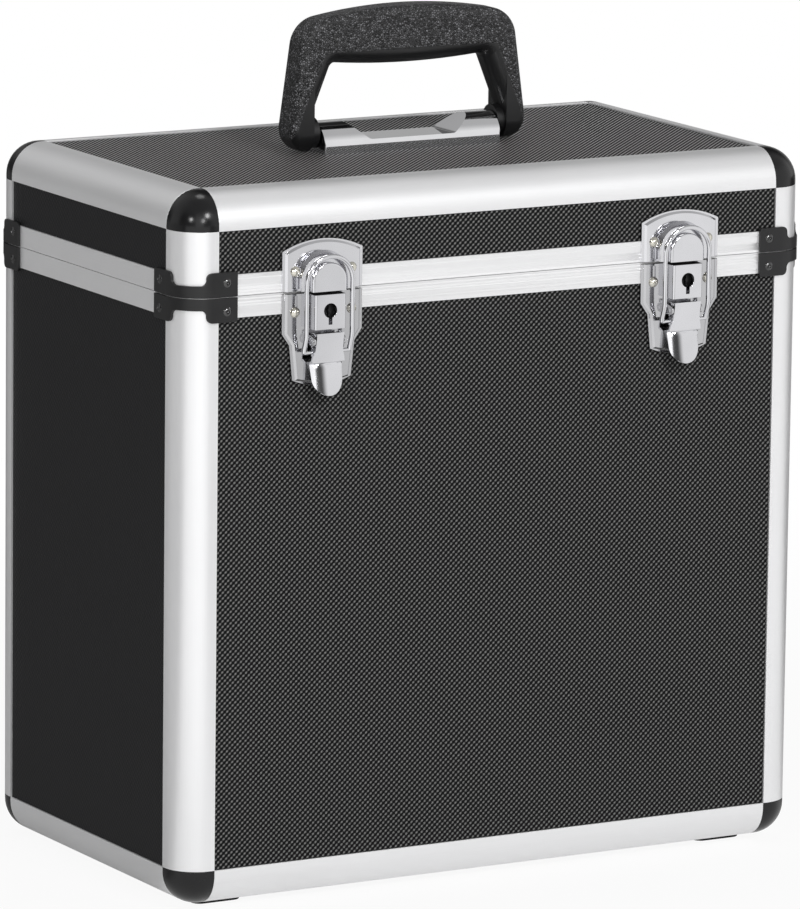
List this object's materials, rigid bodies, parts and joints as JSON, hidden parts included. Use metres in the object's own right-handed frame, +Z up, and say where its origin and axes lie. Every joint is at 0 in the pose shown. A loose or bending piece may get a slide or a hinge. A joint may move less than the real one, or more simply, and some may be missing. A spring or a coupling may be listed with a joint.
{
  "type": "record carrying case",
  "caption": "Lidded upright carrying case for long-playing records, with framed panels, locking toggle latches, rear hinges and a folding top handle.",
  "frame": {"origin": "on the ground under the middle of the shell, at the undersides of the feet", "axes": "+X to the right seen from the front, +Y from the latched front to the hinged back, +Z up"},
  "size_m": [0.3846, 0.2362, 0.459],
  "materials": {
    "panel": "textured black laminate",
    "edge": "satin anodised",
    "corner": "satin black",
    "bracket": "satin black",
    "black_rivet": "satin black",
    "chrome": "polished",
    "rivet": "polished",
    "steel": "bright steel",
    "lock": "dark steel",
    "lining": "dark felt",
    "foot": "matt black",
    "grip": "grained black"
  },
  "bodies": {
    "base": {"base_front_panel": "panel", "base_front_belt": "edge", "base_back_panel": "panel", "base_back_belt": "edge", "base_left_panel": "panel", "base_left_belt": "edge", "base_right_panel": "panel", "base_right_belt": "edge", "base_upright_edges": "edge", "base_ball_corners": "corner", "base_seam_brackets": "bracket", "base_bracket_rivets": "black_rivet", "base_lining": "lining", "base_latch_rivets": "rivet", "base_hinge_leaves": "steel", "base_hinge_rivets": "steel", "base_bottom_panel": "panel", "base_bottom_edges": "edge", "feet": "foot", "foot_screws": "steel", "hinge_pins": "steel", "lever_pins": "steel", "latch_plate_left": "chrome", "lock_housing_left": "chrome", "latch_plate_right": "chrome", "lock_housing_right": "chrome"},
    "lid": {"lid_front_panel": "panel", "lid_front_belt": "edge", "lid_back_panel": "panel", "lid_back_belt": "edge", "lid_left_panel": "panel", "lid_left_belt": "edge", "lid_right_panel": "panel", "lid_right_belt": "edge", "lid_upright_edges": "edge", "lid_ball_corners": "corner", "lid_seam_brackets": "bracket", "lid_bracket_rivets": "black_rivet", "lid_lining": "lining", "lid_latch_rivets": "rivet", "lid_hinge_leaves": "steel", "lid_hinge_rivets": "steel", "lid_top_panel": "panel", "lid_top_edge_front": "edge", "lid_top_edge_back": "edge", "lid_top_edge_left": "edge", "lid_top_edge_right": "edge", "bracket_screws": "steel", "handle_pivots": "steel", "catch_left": "chrome", "catch_right": "chrome", "handle_bracket": "chrome"},
    "lever_left": {"lever_left": "chrome"},
    "hoop_left": {"hoop_left": "chrome"},
    "lock_core_left": {"lock_core_left": "lock"},
    "lever_right": {"lever_right": "chrome"},
    "hoop_right": {"hoop_right": "chrome"},
    "lock_core_right": {"lock_core_right": "lock"},
    "handle": {"handle_grip": "grip"}
  },
  "joints": [
    {"name": "lid_hinge", "type": "hinge", "parent": "base", "child": "lid", "pos_m": [0, 0.1123, 0.3283], "axis": [-1, 0, 0], "range_deg": [0, 100]},
    {"name": "handle_swing", "type": "hinge", "parent": "lid", "child": "handle", "pos_m": [0, 0, 0.3925], "axis": [1, 0, 0], "range_deg": [-88, 88]},
    {"name": "lever_left_turn", "type": "hinge", "parent": "base", "child": "lever_left", "pos_m": [-0.109, -0.1165, 0.3025], "axis": [-1, 0, 0], "range_deg": [-8, 100]},
    {"name": "hoop_left_turn", "type": "hinge", "parent": "lever_left", "child": "hoop_left", "pos_m": [-0.109, -0.1152, 0.2965], "axis": [-1, 0, 0], "range_deg": [-136, 11]},
    {"name": "lock_left_turn", "type": "hinge", "parent": "base", "child": "lock_core_left", "pos_m": [-0.109, -0.115, 0.3185], "axis": [0, -1, 0], "range_deg": [0, 90]},
    {"name": "lever_right_turn", "type": "hinge", "parent": "base", "child": "lever_right", "pos_m": [0.109, -0.1165, 0.3025], "axis": [-1, 0, 0], "range_deg": [-8, 100]},
    {"name": "hoop_right_turn", "type": "hinge", "parent": "lever_right", "child": "hoop_right", "pos_m": [0.109, -0.1152, 0.2965], "axis": [-1, 0, 0], "range_deg": [-136, 11]},
    {"name": "lock_right_turn", "type": "hinge", "parent": "base", "child": "lock_core_right", "pos_m": [0.109, -0.115, 0.3185], "axis": [0, -1, 0], "range_deg": [0, 90]}
  ],
  "couplings": [
    {"joint": "hoop_left_turn", "follows": "lever_left_turn", "ratio": -1.35},
    {"joint": "hoop_right_turn", "follows": "lever_right_turn", "ratio": -1.35}
  ]
}
